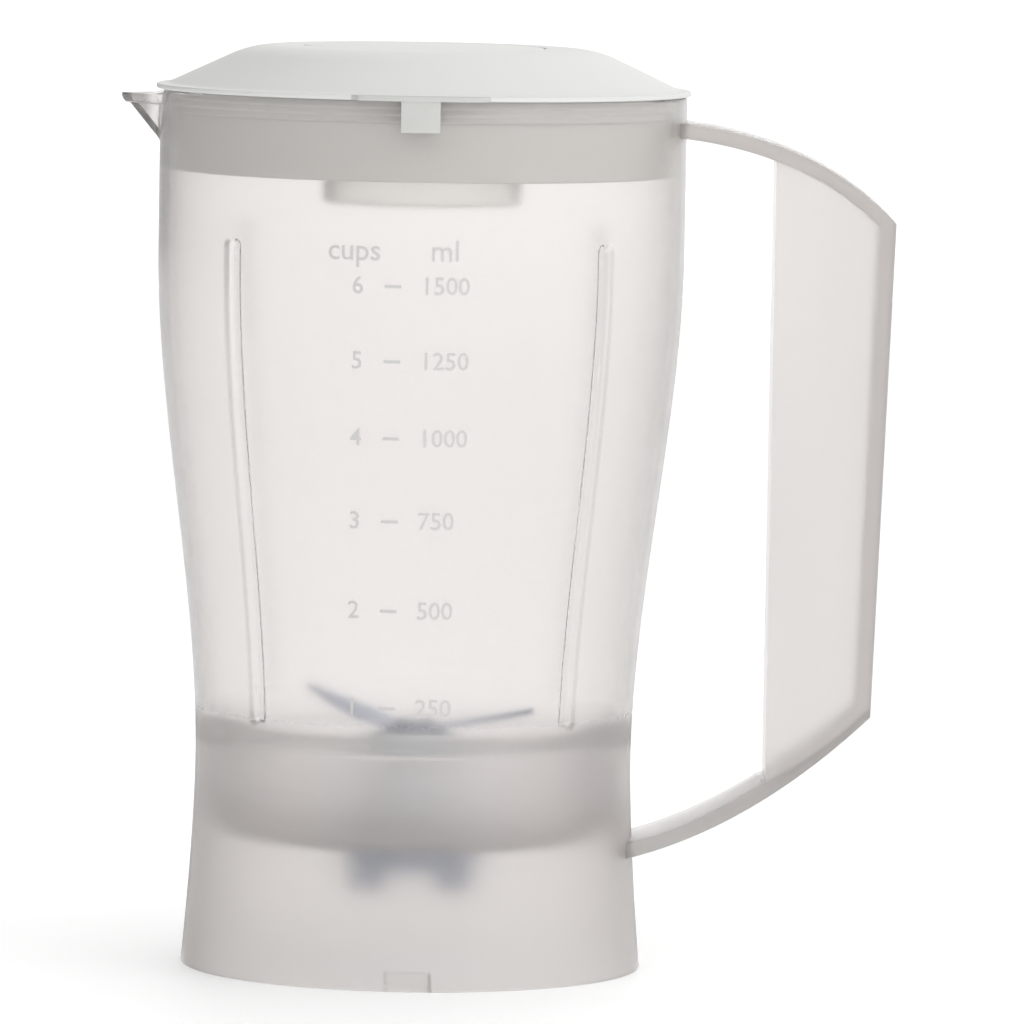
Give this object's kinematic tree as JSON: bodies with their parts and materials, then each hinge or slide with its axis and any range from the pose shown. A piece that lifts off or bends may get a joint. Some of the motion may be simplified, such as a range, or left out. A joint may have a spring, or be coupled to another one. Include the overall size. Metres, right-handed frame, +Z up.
{
  "type": "countertop blender jug",
  "caption": "Frosted plastic blender jug with a pouring spout, strap handle, domed lid, measuring cap, blade unit and drive coupling.",
  "frame": {"origin": "centre of the drive shaft's lower end face, on the jug's axis, 23.8 mm above the foot", "axes": "+Z up along the jug's axis, +X towards the handle, -X towards the spout, -Y towards the lid's grip lip"},
  "size_m": [0.2009, 0.1418, 0.2392],
  "materials": {
    "frosted_plastic": "frosted translucent polypropylene",
    "lid_plastic": "satin",
    "seal_rubber": "soft matt silicone",
    "nylon": "satin",
    "bronze": "sintered",
    "steel": "ground stainless steel",
    "coupling_plastic": "satin"
  },
  "bodies": {
    "jug": {"jug_body": "frosted_plastic", "handle": "frosted_plastic"},
    "lid": {"lid": "lid_plastic", "lid_seal": "seal_rubber"},
    "cap": {"measuring_cap": "lid_plastic"},
    "bearing_unit": {"bearing_housing": "nylon", "floor_seal": "seal_rubber", "upper_bush": "bronze", "lower_bush": "bronze", "shaft_seal": "seal_rubber"},
    "rotor": {"blade_shaft": "steel", "upper_thrust_washer": "nylon", "lower_thrust_washer": "nylon", "blade_spacer": "steel", "blade": "steel", "drive_coupling": "coupling_plastic", "coupling_insert": "bronze", "coupling_clip": "steel"},
    "nut_washer": {"nut_washer": "nylon"},
    "nut": {"housing_nut": "nylon"}
  },
  "joints": [
    {"name": "lid_lift", "type": "slide", "parent": "jug", "child": "lid", "axis": [0, 0, 1], "range_m": [0, 0.06]},
    {"name": "cap_lift", "type": "slide", "parent": "lid", "child": "cap", "axis": [0, 0, 1], "range_m": [0, 0.06]},
    {"name": "unit_lift", "type": "slide", "parent": "jug", "child": "bearing_unit", "axis": [0, 0, 1], "range_m": [0, 0.08]},
    {"name": "blade_spin", "type": "hinge", "parent": "bearing_unit", "child": "rotor", "pos_m": [0, 0, 0], "axis": [0, 0, 1], "continuous": true},
    {"name": "nut_drop", "type": "slide", "parent": "jug", "child": "nut_washer", "axis": [0, 0, -1], "range_m": [0, 0.0032]},
    {"name": "nut_turn", "type": "hinge", "parent": "nut_washer", "child": "nut", "pos_m": [0, 0, 0], "axis": [0, 0, -1], "range_deg": [0, 540]}
  ],
  "couplings": [
    {"joint": "nut_drop", "follows": "nut_turn", "m_per_rad": 0.00031831}
  ]
}
